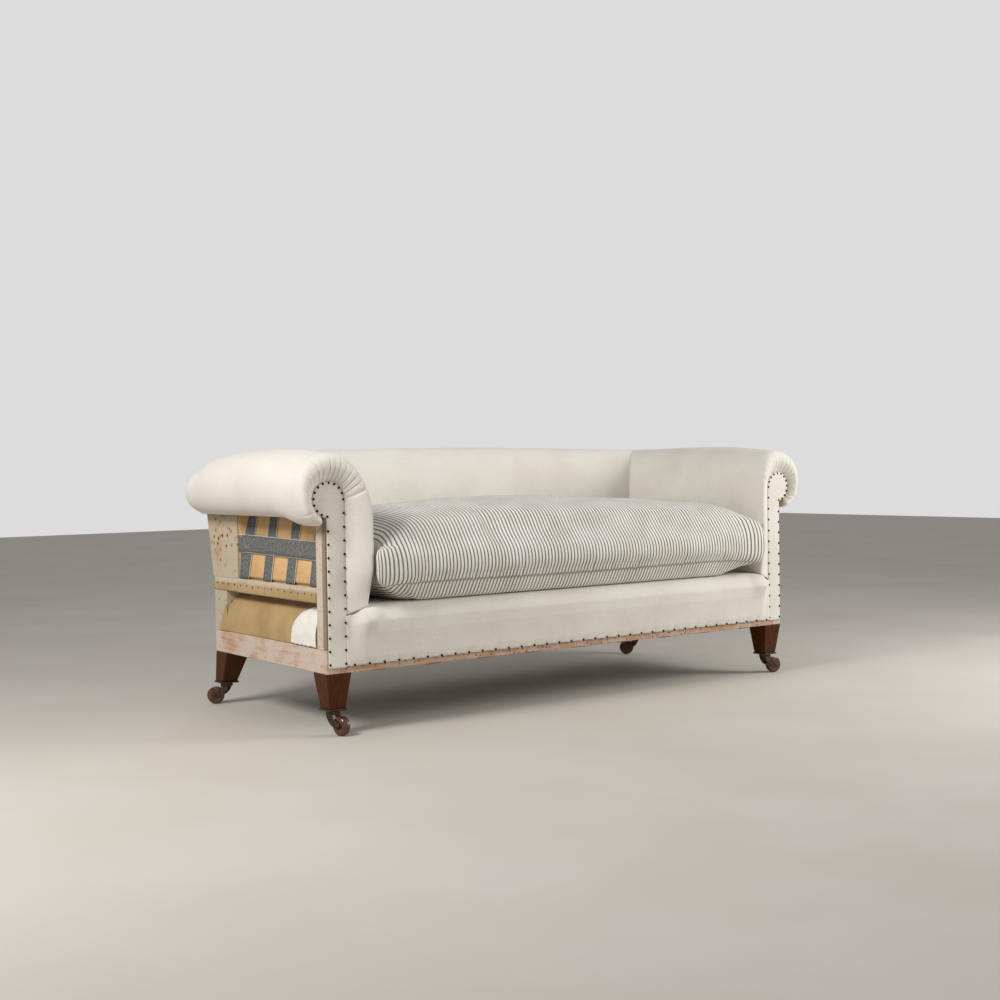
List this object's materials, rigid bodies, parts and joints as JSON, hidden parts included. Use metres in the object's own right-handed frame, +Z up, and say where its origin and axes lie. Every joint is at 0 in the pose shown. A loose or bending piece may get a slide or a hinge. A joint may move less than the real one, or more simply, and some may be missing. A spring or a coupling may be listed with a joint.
{
  "type": "chesterfield sofa",
  "caption": "Low chesterfield settee stripped to calico, with rolled arms and back of one height, open webbed sides, a loose striped seat cushion and tapered legs on swivel castors.",
  "frame": {"origin": "on the floor under the middle of the overall box", "axes": "+X to the right as seen from the front, +Y from front to back, +Z up"},
  "size_m": [1.864, 0.819, 0.7576],
  "materials": {
    "washed_beech": "bare, washed, with tack holes",
    "polished_mahogany": "worn polish",
    "browned_iron": "dark, worn",
    "glazed_ceramic": "glossy dark red-brown",
    "spring_steel": "coppered wire",
    "webbing": "black and white woven strap",
    "hessian": "plain coarse weave",
    "calico": "unbleached, matt",
    "ticking": "cream with dark stripes"
  },
  "bodies": {
    "settee": {"front_seat_rail": "washed_beech", "back_seat_rail": "washed_beech", "left_seat_rail": "washed_beech", "right_seat_rail": "washed_beech", "left_front_post": "washed_beech", "right_front_post": "washed_beech", "left_back_post": "washed_beech", "right_back_post": "washed_beech", "left_arm_stuffing_rail": "washed_beech", "right_arm_stuffing_rail": "washed_beech", "left_arm_top_rail": "washed_beech", "right_arm_top_rail": "washed_beech", "back_stuffing_rail": "washed_beech", "back_top_rail": "washed_beech", "left_corner_block": "washed_beech", "right_corner_block": "washed_beech", "front_left_leg": "polished_mahogany", "front_left_castor_plate": "browned_iron", "front_right_leg": "polished_mahogany", "front_right_castor_plate": "browned_iron", "rear_left_leg": "polished_mahogany", "rear_left_castor_plate": "browned_iron", "rear_right_leg": "polished_mahogany", "rear_right_castor_plate": "browned_iron", "seat_webbing": "webbing", "left_arm_webbing": "webbing", "right_arm_webbing": "webbing", "back_webbing": "webbing", "front_seat_spring_1": "spring_steel", "front_seat_spring_2": "spring_steel", "front_seat_spring_3": "spring_steel", "front_seat_spring_4": "spring_steel", "back_seat_spring_1": "spring_steel", "back_seat_spring_2": "spring_steel", "back_seat_spring_3": "spring_steel", "back_seat_spring_4": "spring_steel", "seat_canvas": "hessian", "left_arm_canvas": "hessian", "right_arm_canvas": "hessian", "left_seat_roll": "hessian", "right_seat_roll": "hessian", "seat_pad": "calico", "left_arm_pad": "calico", "right_arm_pad": "calico", "back_pad": "calico", "left_facing": "calico", "right_facing": "calico"},
    "cushion": {"seat_cushion": "ticking"},
    "front_left_castor_fork": {"front_left_castor_horn": "browned_iron", "front_left_castor_axle": "browned_iron"},
    "front_left_castor_roller": {"front_left_castor_wheel": "glazed_ceramic"},
    "front_right_castor_fork": {"front_right_castor_horn": "browned_iron", "front_right_castor_axle": "browned_iron"},
    "front_right_castor_roller": {"front_right_castor_wheel": "glazed_ceramic"},
    "rear_left_castor_fork": {"rear_left_castor_horn": "browned_iron", "rear_left_castor_axle": "browned_iron"},
    "rear_left_castor_roller": {"rear_left_castor_wheel": "glazed_ceramic"},
    "rear_right_castor_fork": {"rear_right_castor_horn": "browned_iron", "rear_right_castor_axle": "browned_iron"},
    "rear_right_castor_roller": {"rear_right_castor_wheel": "glazed_ceramic"}
  },
  "joints": [
    {"name": "cushion_lift", "type": "slide", "parent": "settee", "child": "cushion", "axis": [0, 0, 1], "range_m": [0, 0.35]},
    {"name": "front_left_swivel", "type": "hinge", "parent": "settee", "child": "front_left_castor_fork", "pos_m": [-0.815, -0.3205, 0.059], "axis": [0, 0, 1], "continuous": true},
    {"name": "front_left_roll", "type": "hinge", "parent": "front_left_castor_fork", "child": "front_left_castor_roller", "pos_m": [-0.8091, -0.35398, 0.026], "axis": [0.9848, 0.1736, 0], "continuous": true},
    {"name": "front_right_swivel", "type": "hinge", "parent": "settee", "child": "front_right_castor_fork", "pos_m": [0.815, -0.3205, 0.059], "axis": [0, 0, 1], "continuous": true},
    {"name": "front_right_roll", "type": "hinge", "parent": "front_right_castor_fork", "child": "front_right_castor_roller", "pos_m": [0.84867, -0.32523, 0.026], "axis": [0.1392, 0.9903, 0], "continuous": true},
    {"name": "rear_left_swivel", "type": "hinge", "parent": "settee", "child": "rear_left_castor_fork", "pos_m": [-0.815, 0.3135, 0.059], "axis": [0, 0, 1], "continuous": true},
    {"name": "rear_left_roll", "type": "hinge", "parent": "rear_left_castor_fork", "child": "rear_left_castor_roller", "pos_m": [-0.83904, 0.33754, 0.026], "axis": [-0.7071, -0.7071, 0], "continuous": true},
    {"name": "rear_right_swivel", "type": "hinge", "parent": "settee", "child": "rear_right_castor_fork", "pos_m": [0.815, 0.3135, 0.059], "axis": [0, 0, 1], "continuous": true},
    {"name": "rear_right_roll", "type": "hinge", "parent": "rear_right_castor_fork", "child": "rear_right_castor_roller", "pos_m": [0.79096, 0.33754, 0.026], "axis": [-0.7071, -0.7071, 0], "continuous": true}
  ]
}
